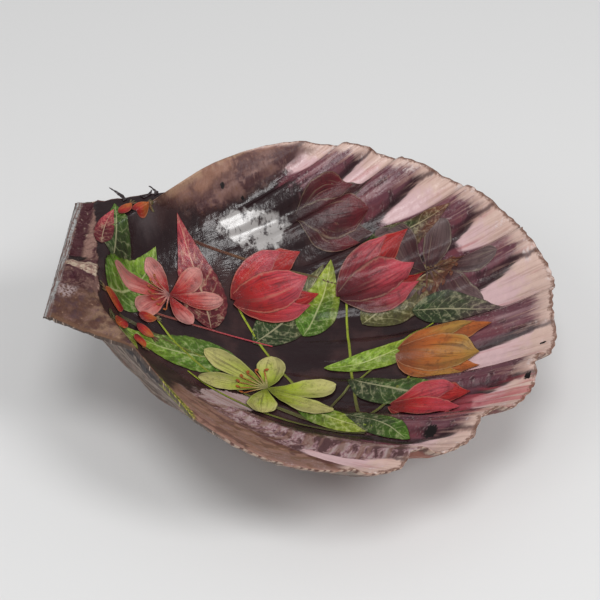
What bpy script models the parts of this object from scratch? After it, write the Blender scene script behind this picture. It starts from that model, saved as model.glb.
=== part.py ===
"""One valve of a lion's paw scallop, used as a dish: hollow side up, resting on the knobs of its outside.

The valve grew as one piece, so it is one closed body. It is drawn first as the animal made it, as a fan
of ribs and growth lines round the beak, and is then turned into the pose in which it lies on a table.
"""

import math

import bmesh
import bpy
import numpy as np
from mathutils import Matrix, Vector

MM = 0.001

# Driving sizes of the valve
HEIGHT = 120 * MM  # beak to lower margin
HOLLOW_DEPTH = 24.0 * MM  # margin plane to the floor of the hollow
BACK_CREST = 1.8 * MM  # how much the back edge rises between the ear and the shoulder
BULGE_DEPTH = 25.5 * MM  # the same on the outside, without the wall and the ribs
WALL = 1.5 * MM  # thickness along the margin
WALL_GAIN = 1.3 * MM  # how much thicker the middle is
EAR_WALL = 2.6 * MM
HINGE_HALF = 21.0 * MM  # half the length of the hinge line
HINGE_PLATE = 11.0 * MM  # width of the shelf under the hinge line
PIT_DEPTH = 1.8 * MM  # hollow for the ligament, in the middle of the shelf
TOOTH_HEIGHT = 1.0 * MM  # ridge beside that hollow, towards the front
MARGIN_WAVE = 1.3 * MM  # half the rise and fall of the margin
MARGIN_SCALLOP = 1.1 * MM  # half of how far each rib stands out past the gaps at the margin
RIB_RELIEF = 2.0 * MM  # half the height of an outside rib
KNOB_HEIGHT = 2.8 * MM
KNOB_GAIN = 0.05 * MM  # how much taller the knobs get with each degree towards the back

# The fan, in degrees from the middle line as seen from the beak, minus at the back and plus at the front
FAN_EDGE = 51.5  # the disc's straight upper edges
RIBS = (  # each rib's two sides at the margin
    (-46, -42),
    (-38, -34.6),
    (-30, -25.6),
    (-21, -16),
    (-12, -5),
    (0.9, 6.7),
    (10, 17),
    (22, 28.4),
    (31.6, 37.5),
)
KNOB_RINGS = (  # how far down the ribs each ring of knobs is, from the beak at 0, and its relative size
    (0.34, 1.5),
    (0.53, 1.0),
    (0.72, 0.9),
)

# The margin: its distance from the beak at some angles, as a share of the height
MARGIN = (
    (-52, 0.51),
    (-48, 0.625),
    (-42, 0.72),
    (-35, 0.80),
    (-25, 0.905),
    (-15, 0.972),
    (-5, 0.998),
    (5, 0.985),
    (15, 0.947),
    (25, 0.887),
    (35, 0.81),
    (42, 0.735),
    (48, 0.62),
    (52, 0.50),
)

# The hollow along its middle line: its depth from the beak to the margin, as a share of the deepest place
HOLLOW = (
    (0, 0),
    (0.06, 0.16),
    (0.12, 0.43),
    (0.2, 0.71),
    (0.3, 0.9),
    (0.45, 1.0),
    (0.6, 0.927),
    (0.7, 0.8),
    (0.8, 0.602),
    (0.9, 0.34),
    (1, 0),
)

# Pose on the table
LIFT_OF_HINGE = 5.8  # degrees
LEAN_TO_FRONT = 4.0
WEAR = 0.9 * MM  # how much the resting knobs have worn away

# Fineness of the mesh
DISC_COLUMNS = 80
EAR_COLUMNS = 6
ROWS = 28


def smooth(low, high, x):
    """0 below low, 1 above high, and an even curve between."""
    t = np.clip((x - low) / (high - low), 0, 1)
    return t * t * (3 - 2 * t)


def curve_through(points, x):
    """A smooth curve through a few points placed by hand."""
    px, py = np.array(points, float).T
    slope = np.gradient(py, px)
    i = np.clip(np.searchsorted(px, x) - 1, 0, len(px) - 2)
    step = px[i + 1] - px[i]
    t = np.clip((x - px[i]) / step, 0, 1)
    start = (1 + 2 * t) * py[i] + t * step * slope[i]
    end = (3 - 2 * t) * py[i + 1] + (t - 1) * step * slope[i + 1]
    return (1 - t) ** 2 * start + t**2 * end


def rib_phase(angle):
    """Counts ribs across the fan: whole numbers on the crests of the ribs, halves in the gaps."""
    sides = np.array(RIBS, float).ravel()
    counts = np.arange(len(sides)) / 2 - 0.25
    return np.interp(angle, sides, counts)


def rib_wave(angle):
    """1 on a rib's crest and -1 in the gap beside it, with steep sides and flat tops."""
    wave = np.tanh(1.6 * np.cos(2 * math.pi * rib_phase(angle))) / math.tanh(1.6)
    first, last = RIBS[0][0], RIBS[-1][1]
    return wave * smooth(first - 5, first, angle) * smooth(last + 6, last, angle)


def edge_distance(angle):
    """Distance from the beak to the edge: the disc's margin, or the straight side of an ear."""
    disc = curve_through(MARGIN, angle) + MARGIN_SCALLOP / HEIGHT * rib_wave(angle)
    radians = np.radians(np.abs(angle))
    ear = HINGE_HALF / HEIGHT / (np.sin(radians) - 0.35 * np.cos(radians))
    return HEIGHT * np.where(np.abs(angle) <= FAN_EDGE, disc, ear)


def across(angle, roundness, steepness):
    """Share of the depth across the fan: 1 in the middle and 0 at the disc's upper edges."""
    return np.clip(1 - np.abs(angle / FAN_EDGE) ** roundness, 0, 1) ** steepness


def back_crest(angle, s):
    """The rise of the back edge, which both faces share."""
    rise = np.sin(math.pi * np.clip((s - 0.5) / 0.5, 0, 1))
    return BACK_CREST * rise * smooth(-42, -51, angle) * (angle > -FAN_EDGE - 0.1)


def inside(angle, s, x, y):
    """Height of the inner face at a place on the fan."""
    hollow = -HOLLOW_DEPTH * curve_through(HOLLOW, s) * across(angle, 2.2, 0.85) + back_crest(angle, s)
    wave = -MARGIN_WAVE * rib_wave(angle) * smooth(0.42, 0.95, s)
    pit = -PIT_DEPTH * np.exp(-(((x + 1.4 * MM) / (1.5 * MM)) ** 2) - ((y - 3.7 * MM) / (2.5 * MM)) ** 2)
    tooth = TOOTH_HEIGHT * np.exp(-(((x - 2.8 * MM) / (1.5 * MM)) ** 2) - ((y - 6 * MM) / (4 * MM)) ** 2)
    plate = pit + tooth - 0.06 * y
    return plate + (hollow + wave - plate) * smooth(HINGE_PLATE * 0.8, HINGE_PLATE * 1.5, y)


def outside(angle, s):
    """Height of the outer face, with its ribs and knobs."""
    bulge = -BULGE_DEPTH * s**0.38 * (1 - s**2.2) / 0.594 * across(angle, 2.6, 0.7) + back_crest(angle, s)
    relief = MARGIN_WAVE + (RIB_RELIEF - MARGIN_WAVE) * smooth(1.0, 0.8, s)
    ribs = -relief * smooth(0.04, 0.3, s) * rib_wave(angle)
    crest = np.clip(np.cos(2 * math.pi * rib_phase(angle)), 0, 1)
    rings = sum(size * np.exp(-(((s - ring) / 0.045) ** 2)) for ring, size in KNOB_RINGS)
    height = KNOB_HEIGHT - KNOB_GAIN * angle
    knobs = -height * rings * crest * smooth(FAN_EDGE - 4, FAN_EDGE - 14, np.abs(angle))
    disc_wall = WALL + WALL_GAIN * smooth(0.95, 0.5, s)
    wall = np.where((np.abs(angle) > FAN_EDGE) | (s == 0), EAR_WALL, disc_wall)
    return bulge - wall + ribs + knobs


def fan_angles():
    """The fan's lines: even across the disc, and a few over each ear."""
    disc = np.linspace(-FAN_EDGE, FAN_EDGE, DISC_COLUMNS + 1)
    ear = np.linspace(90, FAN_EDGE + 0.5, EAR_COLUMNS)
    return np.concatenate([-ear, disc, ear[::-1]])


def growth_shares():
    """The growth lines, closer together at the hinge and at the margin."""
    t = np.linspace(0, 1, ROWS + 1)
    return 0.5 * t + 0.25 * (1 - np.cos(math.pi * t))


def make_valve():
    """A flat sheet with a wall, bent into the fan."""
    angles = fan_angles()
    shares = growth_shares()
    last_column = len(angles) - 1
    last_row = len(shares) - 1
    bpy.ops.mesh.primitive_grid_add(x_subdivisions=last_column, y_subdivisions=last_row, size=2)
    valve = bpy.context.object
    wall = valve.modifiers.new("wall", "SOLIDIFY")
    wall.thickness = 0.1
    bpy.ops.object.modifier_apply(modifier=wall.name)

    mesh = valve.data
    sheet = np.array([vertex.co for vertex in mesh.vertices])
    angle = angles[np.rint((sheet[:, 0] + 1) / 2 * last_column).astype(int)]
    s = shares[np.rint((sheet[:, 1] + 1) / 2 * last_row).astype(int)]
    r = s * edge_distance(angle)
    x = r * np.sin(np.radians(angle))
    y = r * np.cos(np.radians(angle))
    z = np.where(sheet[:, 2] < -0.05, outside(angle, s), inside(angle, s, x, y))
    mesh.vertices.foreach_set("co", np.stack([x, y, z], 1).ravel())
    bm = bmesh.new()
    bm.from_mesh(mesh)
    bmesh.ops.remove_doubles(bm, verts=bm.verts, dist=0.001 * MM)
    bmesh.ops.recalc_face_normals(bm, faces=bm.faces)
    bm.to_mesh(mesh)
    bm.free()
    return valve


def lay_down(valve):
    """Turns the valve into its resting pose, wears its lowest knobs flat, and centres it on the table."""
    to_table = Matrix(((0, 1, 0), (-1, 0, 0), (0, 0, 1))).to_4x4()
    lift = Matrix.Rotation(math.radians(LIFT_OF_HINGE), 4, "Y")
    lean = Matrix.Rotation(math.radians(LEAN_TO_FRONT), 4, "X")
    mesh = valve.data
    mesh.transform(lean @ lift @ to_table)
    corners = np.array([vertex.co for vertex in mesh.vertices])
    low, high = corners.min(0), corners.max(0)
    table = Vector(((low[0] + high[0]) / 2, (low[1] + high[1]) / 2, low[2] + WEAR))
    bm = bmesh.new()
    bm.from_mesh(mesh)
    faces = bm.verts[:] + bm.edges[:] + bm.faces[:]
    bmesh.ops.bisect_plane(bm, geom=faces, plane_co=table, plane_no=(0, 0, -1), clear_outer=True)
    bmesh.ops.holes_fill(bm, edges=[edge for edge in bm.edges if edge.is_boundary])
    bmesh.ops.triangulate(bm, faces=bm.faces)
    bm.to_mesh(mesh)
    bm.free()
    mesh.transform(Matrix.Translation(-table))


def paint(valve):
    """The colour of the lacquered inside, which most of the valve shows."""
    coat = bpy.data.materials.new("purple_brown_lacquer")
    coat.use_nodes = True
    surface = coat.node_tree.nodes["Principled BSDF"]
    surface.inputs["Base Color"].default_value = (0.105, 0.05, 0.055, 1)
    surface.inputs["Roughness"].default_value = 0.35
    surface.inputs["Metallic"].default_value = 0
    valve.data.materials.append(coat)


for old in list(bpy.data.objects):
    bpy.data.objects.remove(old)
scallop = bpy.data.collections.new("scallop_valve")
bpy.context.scene.collection.children.link(scallop)
shell = make_valve()
shell.name = "shell"
for home in list(shell.users_collection):
    home.objects.unlink(shell)
scallop.objects.link(shell)
lay_down(shell)
paint(shell)
shell.data.shade_smooth()
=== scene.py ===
import math

import bpy
import numpy as np
from mathutils import Matrix, Vector, noise


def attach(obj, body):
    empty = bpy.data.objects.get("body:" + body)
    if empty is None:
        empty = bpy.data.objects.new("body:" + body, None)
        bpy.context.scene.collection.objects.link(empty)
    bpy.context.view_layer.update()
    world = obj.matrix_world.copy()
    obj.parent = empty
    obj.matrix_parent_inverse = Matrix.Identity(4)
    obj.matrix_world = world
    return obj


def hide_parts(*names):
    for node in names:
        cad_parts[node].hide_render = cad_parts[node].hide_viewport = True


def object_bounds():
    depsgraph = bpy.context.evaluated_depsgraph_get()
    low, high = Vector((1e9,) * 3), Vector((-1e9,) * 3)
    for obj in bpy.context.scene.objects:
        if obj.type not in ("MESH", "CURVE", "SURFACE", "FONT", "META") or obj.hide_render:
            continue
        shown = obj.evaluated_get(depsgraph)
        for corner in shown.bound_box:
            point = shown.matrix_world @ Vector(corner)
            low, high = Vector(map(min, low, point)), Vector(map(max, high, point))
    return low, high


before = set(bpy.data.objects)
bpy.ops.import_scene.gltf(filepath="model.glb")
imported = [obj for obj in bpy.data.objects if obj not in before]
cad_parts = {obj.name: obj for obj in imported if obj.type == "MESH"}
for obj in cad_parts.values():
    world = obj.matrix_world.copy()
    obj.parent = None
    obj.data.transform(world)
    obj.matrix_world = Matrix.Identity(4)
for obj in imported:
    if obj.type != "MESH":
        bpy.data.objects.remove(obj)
cad_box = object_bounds()

# The valve: one half of a lion's paw scallop, grown as a fan of nine knobbed ribs round its beak, with an ear
# each side of the hinge. It starts as a flat sheet with a wall, and every point is then moved to its place on
# the fan.

MM = 0.001
HEIGHT = 120 * MM  # beak to lower margin
HOLLOW_DEPTH = 24.0 * MM
BULGE_DEPTH = 25.5 * MM
WALL = 1.5 * MM
WALL_GAIN = 1.3 * MM
EAR_WALL = 2.6 * MM
HINGE_HALF = 21.0 * MM
HINGE_PLATE = 11.0 * MM
PIT_DEPTH = 1.8 * MM
PIT = ((-1.4 * MM, 3.7 * MM), (1.5 * MM, 2.5 * MM))  # its centre and size, on the flat plan
TOOTH_HEIGHT = 1.0 * MM
TOOTH = ((2.8 * MM, 6 * MM), (1.5 * MM, 4 * MM))
TROUGH_DEPTH = 0.9 * MM
TROUGH_AT = 3.2 * MM  # from the hinge line
TROUGH_WIDTH = 1.6 * MM
HINGE_SLOPE = 0.06
HINGE_DROP = 1.4 * MM
PAPER_SLANT = 0.21  # of the edge where the paper ends on the shelf, which leaves the hinge towards the front
MARGIN_WAVE = 1.3 * MM
MARGIN_SCALLOP = 1.1 * MM
RIB_RELIEF = 2.0 * MM
KNOB_HEIGHT = 2.8 * MM
KNOB_GAIN = 0.05 * MM  # for each degree towards the back
RIBLET_HEIGHT = 0.14 * MM
GROWTH_STEP = 0.22 * MM
LUMP_HEIGHT = 0.4 * MM
FAN_EDGE = 51.5  # degrees from the middle line to the disc's straight upper edges
RIBS = (
    (-46, -42),
    (-38, -34.6),
    (-30, -25.6),
    (-21, -16),
    (-12, -5),
    (0.9, 6.7),
    (10, 17),
    (22, 28.4),
    (31.6, 37.5),
)
KNOB_RINGS = ((0.34, 1.5), (0.53, 1.0), (0.72, 0.9))
MARGIN = (
    (-52, 0.51),
    (-48, 0.625),
    (-42, 0.72),
    (-35, 0.80),
    (-25, 0.905),
    (-15, 0.972),
    (-5, 0.998),
    (5, 0.985),
    (15, 0.947),
    (25, 0.887),
    (35, 0.81),
    (42, 0.735),
    (48, 0.62),
    (52, 0.50),
)
PALE_FROM = (  # by rib, its angle and the share of the growth from which the inside of its groove is pale
    (-44, 0.83),
    (-36.3, 0.78),
    (-27.8, 0.82),
    (-18.5, 0.88),
    (-8.5, 0.83),
    (3.8, 0.76),
    (13.5, 0.9),
    (25, 0.88),
    (34.5, 0.76),
)
LIFT_OF_HINGE = 5.8  # degrees
LEAN_TO_FRONT = 4.0  # degrees
BEAK = Vector((-59.3944, -0.3393, 37.8789)) * MM  # where the beak is in the frame
HOLLOW = (  # depth along the middle line, as a share of the deepest place
    (0, 0),
    (0.06, 0.16),
    (0.12, 0.43),
    (0.2, 0.71),
    (0.3, 0.9),
    (0.45, 1.0),
    (0.6, 0.927),
    (0.7, 0.8),
    (0.8, 0.602),
    (0.9, 0.34),
    (1, 0),
)
BACK_CREST = 1.8 * MM  # how much the back edge rises between the ear and the disc's shoulder
MARGIN_ROUND = 0.014  # share of the growth over which the inner face turns down at the margin
MARGIN_TAPER = 0.06  # and over which the outer face comes up to it
HINGE_BEVEL = 2.2 * MM
DISC_COLUMNS = 290
RIBLET_PITCH = 8 * FAN_EDGE / DISC_COLUMNS  # degrees between the fine riblets of the outside
EAR_COLUMNS = 20
ROWS = 142


def smooth(low, high, x):
    """0 below low, 1 above high, and an even curve between."""
    t = np.clip((x - low) / (high - low), 0, 1)
    return t * t * (3 - 2 * t)


def curve_through(points, x):
    """A smooth curve through a few given points."""
    px, py = np.array(points, float).T
    slope = np.gradient(py, px)
    i = np.clip(np.searchsorted(px, x) - 1, 0, len(px) - 2)
    step = px[i + 1] - px[i]
    t = np.clip((x - px[i]) / step, 0, 1)
    start = (1 + 2 * t) * py[i] + t * step * slope[i]
    end = (3 - 2 * t) * py[i + 1] + (t - 1) * step * slope[i + 1]
    return (1 - t) ** 2 * start + t**2 * end


def rib_phase(angle):
    """Counts ribs across the fan: whole numbers on the crests of the ribs, halves in the gaps."""
    sides = np.array(RIBS, float).ravel()
    return np.interp(angle, sides, np.arange(len(sides)) / 2 - 0.25)


def rib_wave(angle, sharpness=1.6):
    """1 on a rib's crest and -1 in the gap beside it, with steep sides and flat tops."""
    wave = np.tanh(sharpness * np.cos(2 * math.pi * rib_phase(angle))) / np.tanh(sharpness)
    first, last = RIBS[0][0], RIBS[-1][1]
    return wave * smooth(first - 5, first, angle) * smooth(last + 6, last, angle)


def ripple(*coordinates):
    """Smooth random hills, from -1 to 1, always the same at the same place."""
    places = np.stack(np.broadcast_arrays(*coordinates), -1)
    flat = places.reshape(-1, places.shape[-1])
    hills = np.array([noise.noise(Vector((*p, 0.37)[:3])) for p in flat])
    return hills.reshape(places.shape[:-1])


def edge_distance(angle):
    """Distance from the beak to the edge, with the small bites and chips of a worn margin."""
    disc = curve_through(MARGIN, angle) + MARGIN_SCALLOP / HEIGHT * rib_wave(angle)
    radians = np.radians(np.abs(angle))
    ear = HINGE_HALF / HEIGHT / (np.sin(radians) - 0.35 * np.cos(radians))
    chips = 0.004 * np.minimum(ripple(angle * 0.9, 0) + 0.1, 0) - 0.0022 * np.abs(ripple(angle * 2.2, 0))
    beads = 0.0014 * (1 - np.cos(2 * math.pi * angle / RIBLET_PITCH)) * (np.abs(angle) < FAN_EDGE)
    bites = 0.012 * np.maximum(ripple(angle * 0.45, 3) - 0.1, 0) * (np.abs(angle) > FAN_EDGE)
    worn = (chips - beads - bites) * smooth(89, 84, np.abs(angle))
    return HEIGHT * (np.where(np.abs(angle) <= FAN_EDGE, disc, ear) + worn)


def across(angle, roundness, steepness):
    """Share of the depth across the fan: 1 in the middle and 0 at the disc's upper edges."""
    return np.clip(1 - np.abs(angle / FAN_EDGE) ** roundness, 0, 1) ** steepness


def quarter_round(depth):
    """A quarter circle: 0 where the depth is 1 or more, 1 where it is 0."""
    return 1 - np.sqrt(1 - (1 - np.clip(depth, 0, 1)) ** 2)


def mound(x, y, centre, size):
    """1 at the centre and falling away to all sides, to a third at the size."""
    return np.exp(-(((x - centre[0]) / size[0]) ** 2) - ((y - centre[1]) / size[1]) ** 2)


def back_crest(angle, s):
    """The rise of the back edge, which inner and outer face share."""
    along_edge = np.sin(math.pi * np.clip((s - 0.5) / 0.5, 0, 1))
    return BACK_CREST * along_edge * smooth(-42, -51, angle) * (angle > -52)


def inside(angle, s, x, y):
    """Height of the inner face at a place on the fan."""
    hollow = -HOLLOW_DEPTH * curve_through(HOLLOW, s) * across(angle, 2.2, 0.85) + back_crest(angle, s)
    wave = -MARGIN_WAVE * rib_wave(angle, 2.6) * smooth(0.42, 0.93, s)
    pit_and_tooth = TOOTH_HEIGHT * mound(x, y, *TOOTH) - PIT_DEPTH * mound(x, y, *PIT)
    trough = -TROUGH_DEPTH * np.exp(-(((y - TROUGH_AT) / TROUGH_WIDTH) ** 2)) * smooth(-1 * MM, -4 * MM, x)
    rough = 0.5 * MM * (ripple(x * 380, y * 380) - 0.5) + 0.35 * MM * (ripple(x * 1000, y * 1000) - 0.5)
    smoother_ear = 1 - 0.75 * smooth(8 * MM, 12 * MM, x)
    rough = rough * smoother_ear * smooth(10.5 * MM, 8 * MM, y - PAPER_SLANT * x)
    plate = pit_and_tooth + trough + rough - HINGE_SLOPE * y - HINGE_DROP * quarter_round(y / HINGE_BEVEL)
    dish = 0.22 * MM * ripple(x * 130, y * 130) + 0.07 * MM * ripple(x * 420, y * 420)  # folds of the paper
    surface = plate + (hollow + wave + dish - plate) * smooth(HINGE_PLATE * 0.8, HINGE_PLATE * 1.5, y)
    return surface - 0.2 * WALL * quarter_round((1 - s) / MARGIN_ROUND)


def outside(angle, s, y):
    """Height of the outer face, with its ribs, knobs, riblets and steps of growth."""
    profile = s**0.38 * (1 - s**2.2) / 0.594  # 0.594 is the curve's highest value
    bulge = -BULGE_DEPTH * profile * across(angle, 2.6, 0.7) + back_crest(angle, s)
    relief = MARGIN_WAVE + (RIB_RELIEF - MARGIN_WAVE) * smooth(1.0, 0.8, s)
    ribs = -relief * smooth(0.04, 0.3, s) * rib_wave(angle, 1.6 + smooth(0.7, 0.95, s))
    crest = np.clip(np.cos(2 * math.pi * rib_phase(angle)), 0, 1)
    rings = sum(size * np.exp(-(((s - ring) / 0.045) ** 2)) for ring, size in KNOB_RINGS)
    height = KNOB_HEIGHT - KNOB_GAIN * angle
    knobs = -height * rings * crest * smooth(FAN_EDGE - 4, FAN_EDGE - 14, np.abs(angle))
    riblets = -RIBLET_HEIGHT * np.cos(2 * math.pi * angle / RIBLET_PITCH) * smooth(0.1, 0.5, s)
    steps = GROWTH_STEP * ((s * 23 + 0.8 * ripple(angle * 0.12, s * 7)) % 1 - 0.5) * smooth(0.1, 0.3, s)
    lumps = LUMP_HEIGHT * ripple(angle * 0.35, s * 22) * smooth(0.05, 0.2, s)
    detail = (riblets + steps + lumps) * smooth(1, 0.95, s)
    disc_wall = WALL + WALL_GAIN * smooth(0.95, 0.5, s)
    wall = np.where((np.abs(angle) > FAN_EDGE) | (s == 0), EAR_WALL, disc_wall)
    taper = np.where(np.abs(angle) > FAN_EDGE, 2, 1) * MARGIN_TAPER
    thinner = np.maximum(0.6 * quarter_round((1 - s) / taper), 0.35 * quarter_round(y / HINGE_BEVEL))
    return bulge - wall * (1 - thinner) + ribs + knobs + detail


ear_angles = 90 - (90 - FAN_EDGE - 0.5) * np.linspace(0, 1, EAR_COLUMNS) ** 1.4
disc_angles = np.linspace(-FAN_EDGE, FAN_EDGE, DISC_COLUMNS + 1)
fan_angles = np.concatenate([-ear_angles, disc_angles, ear_angles[::-1]])
even_rows = np.linspace(0, 1, ROWS + 1)
growth = 0.6 * even_rows + 0.2 * (1 - np.cos(math.pi * even_rows))

bpy.ops.object.select_all(action="DESELECT")
bpy.ops.mesh.primitive_grid_add(x_subdivisions=len(fan_angles) - 1, y_subdivisions=ROWS, size=2)
valve = bpy.context.object
valve.name = "valve"
wall = valve.modifiers.new("wall", "SOLIDIFY")
wall.thickness = 0.1
wall.material_offset = 1
wall.material_offset_rim = 1

lacquered_inside = bpy.data.materials.new("lacquered_inside")
bare_outside = bpy.data.materials.new("bare_outside")
valve.data.materials.append(lacquered_inside)
valve.data.materials.append(bare_outside)
bpy.ops.object.modifier_apply(modifier=wall.name)

sheet = np.array([vertex.co for vertex in valve.data.vertices])
column = np.rint((sheet[:, 0] + 1) / 2 * (len(fan_angles) - 1)).astype(int)
row = np.rint((sheet[:, 1] + 1) / 2 * ROWS).astype(int)
edge = edge_distance(fan_angles)[column]
angle = fan_angles[column]
s = growth[row]
x = s * edge * np.sin(np.radians(angle))
y = s * edge * np.cos(np.radians(angle))
z = np.where(sheet[:, 2] < -0.05, outside(angle, s, y), inside(angle, s, x, y))
valve.data.vertices.foreach_set("co", np.stack([x, y, z], 1).ravel())


def add_measure(piece, name, values):
    """Writes one number, or a place, for each point of the piece."""
    kind, field = ("FLOAT", "value") if values.ndim == 1 else ("FLOAT_VECTOR", "vector")
    piece.data.attributes.new(name, kind, "POINT").data.foreach_set(field, values.astype(np.float32).ravel())


valve.data.uv_layers.remove(valve.data.uv_layers[0])
add_measure(valve, "plan", np.stack([x, y, 0 * x], 1) / MM)
add_measure(valve, "angle", angle)
add_measure(valve, "growth", s)
phase = 2 * math.pi * rib_phase(angle)
on_fan = smooth(-51, -46, angle) * smooth(43.5, 37.5, angle)
add_measure(valve, "groove", np.cos(phase) * on_fan - 1 + on_fan)
add_measure(valve, "groove_side", np.sin(phase) * on_fan)
add_measure(valve, "reach", np.interp(angle, *np.transpose(PALE_FROM)))
add_measure(valve, "from_hinge", y / MM)
add_measure(valve, "from_margin", (1 - s) * edge / MM)
bpy.ops.object.mode_set(mode="EDIT")
bpy.ops.mesh.select_all(action="SELECT")
bpy.ops.mesh.remove_doubles(threshold=0.0001 * MM)
bpy.ops.mesh.normals_make_consistent(inside=False)
bpy.ops.object.mode_set(mode="OBJECT")
bpy.ops.object.shade_smooth()


# Finish of the valve's inside: purple-brown shell under a dark glued paper ground, pale along the ribs and
# at the margin, brown on the two upper slopes. A glossy lacquer lies over all of it, in waves and pimples.


def add_node(kind, *inputs, output=0, **settings):
    """Adds a node, fills its sockets in order, and returns one of its outputs."""
    tree = next(value.id_data for value in inputs if isinstance(value, bpy.types.NodeSocket))
    node = tree.nodes.new("ShaderNode" + kind)
    for name, value in settings.items():
        setattr(node, name, value)
    for socket, value in zip(node.inputs, inputs):
        if isinstance(value, bpy.types.NodeSocket):
            tree.links.new(value, socket)
        elif value is not None:
            socket.default_value = value
    return node.outputs[output]


def maths(operation, *values):
    """One sum on numbers that change over the surface."""
    return add_node("Math", *values, operation=operation)


def times(*values):
    """Several shares multiplied together."""
    product = values[0]
    for value in values[1:]:
        product = maths("MULTIPLY", product, value)
    return product


def step(value, low, high, start=0.0, end=1.0):
    """Goes smoothly from start to end as the value goes from low to high."""
    return add_node("MapRange", value, low, high, start, end, interpolation_type="SMOOTHSTEP")


def near(value, middle, outer, inner):
    """1 where a number is closer to a middle value than inner, and 0 where it is further off than outer."""
    off = maths("ABSOLUTE", maths("SUBTRACT", value, middle))
    return step(off, outer, inner)


def shaken(value, *pushes):
    """A number pushed up and down by noises, each named with its size, which is twice the farthest push."""
    for noise_at, size in zip(pushes[::2], pushes[1::2]):
        value = maths("MULTIPLY_ADD", maths("SUBTRACT", noise_at, 0.5), size, value)
    return value


def coat(under, over, share):
    """Lays one colour over another where the share says so."""
    under, over = [c if isinstance(c, bpy.types.NodeSocket) else (*c, 1) for c in (under, over)]
    return add_node("Mix", share, *[None] * 5, under, over, output=2, data_type="RGBA")


def grain(place, scale, detail=3.0, roughness=0.55):
    """Cloudy noise, around a half."""
    return add_node("TexNoise", place, None, scale, detail, roughness)


def measure(tree, name, output=2):
    """What the mesh carries for each point: output 2 gives a number, 1 a place and 0 a colour."""
    carried = tree.nodes.new("ShaderNodeAttribute")
    carried.attribute_name = name
    return carried.outputs[output]


def stretched(place, x, y):
    """A place squeezed by x and y, so that a noise read there is drawn out."""
    return add_node("VectorMath", place, (x, y, 1), operation="MULTIPLY")


def away_from(place, centre, half_size):
    """How far a place is from a centre, as a share of an oval's half sizes: 1 on the oval's edge."""
    apart = add_node("VectorMath", place, (*centre, 0), operation="SUBTRACT")
    shares = stretched(apart, 1 / half_size[0], 1 / half_size[1])
    return add_node("VectorMath", shares, output=1, operation="LENGTH")


def emboss(surface, strength, height, relief):
    """Raises a finish by a relief, of which 1 stands for the height."""
    bump = add_node("Bump", strength, height, None, relief)
    relief.id_data.links.new(bump, surface.inputs["Normal"])


lacquer = bpy.data.node_groups.new("lacquer", "ShaderNodeTree")
lacquer.interface.new_socket("Place", in_out="INPUT", socket_type="NodeSocketVector")
lacquer.interface.new_socket("Height", in_out="OUTPUT", socket_type="NodeSocketFloat")
lacquer.interface.new_socket("Dust", in_out="OUTPUT", socket_type="NodeSocketFloat")
lacquer_place = lacquer.nodes.new("NodeGroupInput").outputs[0]
lacquer_end = lacquer.nodes.new("NodeGroupOutput")
waves = grain(lacquer_place, 0.17, 2)
pimples = grain(lacquer_place, 1.3, 2, 0.6)
lacquer_height = maths("MULTIPLY_ADD", pimples, 0.1, maths("MULTIPLY", waves, 0.7))
lacquer_dust = step(grain(lacquer_place, 0.5, 4, 0.65), 0.5, 0.72)
lacquer.links.new(lacquer_height, lacquer_end.inputs[0])
lacquer.links.new(lacquer_dust, lacquer_end.inputs[1])

GROUND = (0.017, 0.0075, 0.009)
GROUND_BROWN = (0.04, 0.018, 0.018)
GROUND_GREY = (0.1, 0.085, 0.09)
PURPLE = (0.11, 0.036, 0.05)
PLUM_RED = (0.16, 0.034, 0.04)
PURPLE_LIGHT = (0.29, 0.165, 0.18)
PURPLE_DARK = (0.035, 0.011, 0.016)
PINK_WHITE = (0.6, 0.41, 0.42)
CREAM = (0.6, 0.43, 0.37)
PINK = (0.44, 0.18, 0.185)
PEARL = (0.66, 0.57, 0.55)
STRIP_SHADE = (0.38, 0.23, 0.19)
ROSY = (0.42, 0.06, 0.08)
EDGE_BROWN = (0.16, 0.08, 0.045)
EDGE_DARK = (0.12, 0.05, 0.03)
SLOPE_BROWN = (0.27, 0.14, 0.1)
SLOPE_TAN = (0.38, 0.235, 0.155)
SLOPE_PURPLE = (0.08, 0.036, 0.038)
LILAC = (0.36, 0.27, 0.265)
LILAC_BROWN = (0.22, 0.12, 0.1)
DARK_RED = (0.07, 0.015, 0.016)
HINGE_BROWN = (0.14, 0.07, 0.058)
HINGE_MAROON = (0.055, 0.011, 0.017)
HINGE_PINK = (0.29, 0.165, 0.135)
HINGE_CREAM = (0.46, 0.36, 0.27)
HINGE_WHITE = (0.36, 0.36, 0.355)
EAR_BROWN = (0.1, 0.042, 0.028)
EAR_TAN = (0.23, 0.135, 0.085)
PAINTED_GLARE_WHITE = (0.42, 0.4, 0.39)
NEAR_BLACK = (0.006, 0.003, 0.003)
SCRAP_GREEN = (0.12, 0.14, 0.025)
SCRAP_YELLOW = (0.42, 0.36, 0.07)

# where the colours meet, in degrees from the middle line, shares of the growth, and mm from hinge or margin
RIDGES_FROM = 0.76
WALLS_FROM = 0.68
STRIP_WIDTH = 5.4
STRIP_END = 35.5
BACK_SLOPE = -46
FRONT_SLOPE = 28.5
OUTER_FRONT = 36.5
RED_STREAK = 38.2
PINK_RIDGE = 6.4
PAPER_START = 8.9
FRONT_RIM = 50.4

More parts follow.
